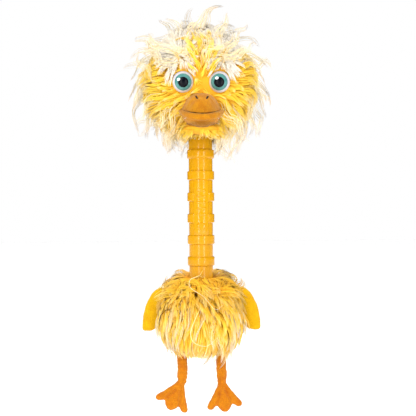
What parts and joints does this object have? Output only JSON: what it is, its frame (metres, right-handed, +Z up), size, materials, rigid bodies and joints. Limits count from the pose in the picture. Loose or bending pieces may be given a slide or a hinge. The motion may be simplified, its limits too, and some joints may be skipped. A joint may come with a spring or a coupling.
{
  "type": "moving mouth puppet",
  "caption": "Plush bird puppet on a ribbed hand-grip neck, whose trigger pulls a rod that opens the beak.",
  "frame": {"origin": "on the neck axis, at the middle of the six grip ribs", "axes": "+Z up along the neck towards the head, -Y the way the bird faces, +X to the right seen from the front"},
  "size_m": [0.16, 0.148, 0.4711],
  "materials": {
    "yellow_fur": "long pile plush, crimped locks, golden yellow fading to cream at the tips",
    "cream_fur": "long soft cream pile with crimped guard hairs",
    "beak_plush": "short orange velour plush",
    "wing_plush": "short yellow velour plush",
    "stuffing": "white polyester fibre in a cloth bag",
    "neck_plastic": "glossy orange-yellow injection moulding",
    "inner_plastic": "natural plastic, unpainted",
    "steel": "zinc plated",
    "nylon": "natural nylon cable tie",
    "eye_white": "glossy white moulding",
    "iris": "teal, clear lacquered",
    "pupil": "glossy black",
    "black_thread": "black embroidery thread"
  },
  "bodies": {
    "root": {"body_fur": "yellow_fur", "body_stuffing": "stuffing", "body_tie": "nylon", "brow_tuft_left": "cream_fur", "brow_tuft_right": "cream_fur", "crown_tuft": "cream_fur", "eye_left": "eye_white", "eye_right": "eye_white", "eye_washer_left": "steel", "eye_washer_right": "steel", "head_fur": "yellow_fur", "head_tie": "nylon", "iris_left": "iris", "iris_right": "iris", "jaw_pin": "steel", "neck_back_shell": "neck_plastic", "neck_end_cap": "neck_plastic", "neck_front_shell": "neck_plastic", "neck_screw_1": "steel", "neck_screw_2": "steel", "neck_screw_3": "steel", "neck_screw_4": "steel", "nostril_left": "black_thread", "nostril_right": "black_thread", "pupil_left": "pupil", "pupil_right": "pupil", "return_spring": "steel", "rod_guide_lower": "inner_plastic", "rod_guide_upper": "inner_plastic", "skull_back": "inner_plastic", "skull_front": "inner_plastic", "skull_screw_1": "steel", "skull_screw_2": "steel", "trigger_pin": "steel", "upper_beak": "beak_plush"},
    "trigger": {"trigger": "neck_plastic"},
    "pull_rod": {"pull_rod": "steel"},
    "jaw": {"jaw_frame": "inner_plastic", "lower_beak": "beak_plush", "chin_fur": "yellow_fur"},
    "wing_left": {"wing_left": "wing_plush"},
    "wing_right": {"wing_right": "wing_plush"},
    "leg_left": {"leg_left": "beak_plush"},
    "leg_right": {"leg_right": "beak_plush"},
    "foot_left": {"foot_left": "beak_plush"},
    "foot_right": {"foot_right": "beak_plush"}
  },
  "joints": [
    {"name": "trigger_squeeze", "type": "hinge", "parent": "root", "child": "trigger", "pos_m": [0, 0.007, -0.02], "axis": [1, 0, 0], "range_deg": [0, 14], "stiffness_Nm_per_rad": 0.35, "springref_deg": -14.32},
    {"name": "rod_pull", "type": "slide", "parent": "root", "child": "pull_rod", "axis": [0, 0, -1], "range_m": [0, 0.003], "deforming": ["return_spring"]},
    {"name": "jaw_open", "type": "hinge", "parent": "root", "child": "jaw", "pos_m": [0, 0.005, 0.116], "axis": [1, 0, 0], "range_deg": [0, 16.9]},
    {"name": "wing_flap_left", "type": "hinge", "parent": "root", "child": "wing_left", "pos_m": [-0.043, 0, -0.106], "axis": [0, 1, 0], "range_deg": [0, 80]},
    {"name": "wing_flap_right", "type": "hinge", "parent": "root", "child": "wing_right", "pos_m": [0.043, 0, -0.106], "axis": [0, -1, 0], "range_deg": [0, 80]},
    {"name": "leg_swing_left", "type": "hinge", "parent": "root", "child": "leg_left", "pos_m": [-0.0235, 0, -0.176], "axis": [1, 0, 0], "range_deg": [-40, 40]},
    {"name": "foot_flex_left", "type": "hinge", "parent": "leg_left", "child": "foot_left", "pos_m": [-0.0235, 0, -0.206], "axis": [1, 0, 0], "range_deg": [-25, 25], "stiffness_Nm_per_rad": 0.002},
    {"name": "leg_swing_right", "type": "hinge", "parent": "root", "child": "leg_right", "pos_m": [0.0235, 0, -0.176], "axis": [1, 0, 0], "range_deg": [-40, 40]},
    {"name": "foot_flex_right", "type": "hinge", "parent": "leg_right", "child": "foot_right", "pos_m": [0.0235, 0, -0.206], "axis": [1, 0, 0], "range_deg": [-25, 25], "stiffness_Nm_per_rad": 0.002}
  ],
  "couplings": [
    {"joint": "rod_pull", "follows": "trigger_squeeze", "m_per_rad": 0.012},
    {"joint": "jaw_open", "follows": "trigger_squeeze", "ratio": 1.2}
  ]
}
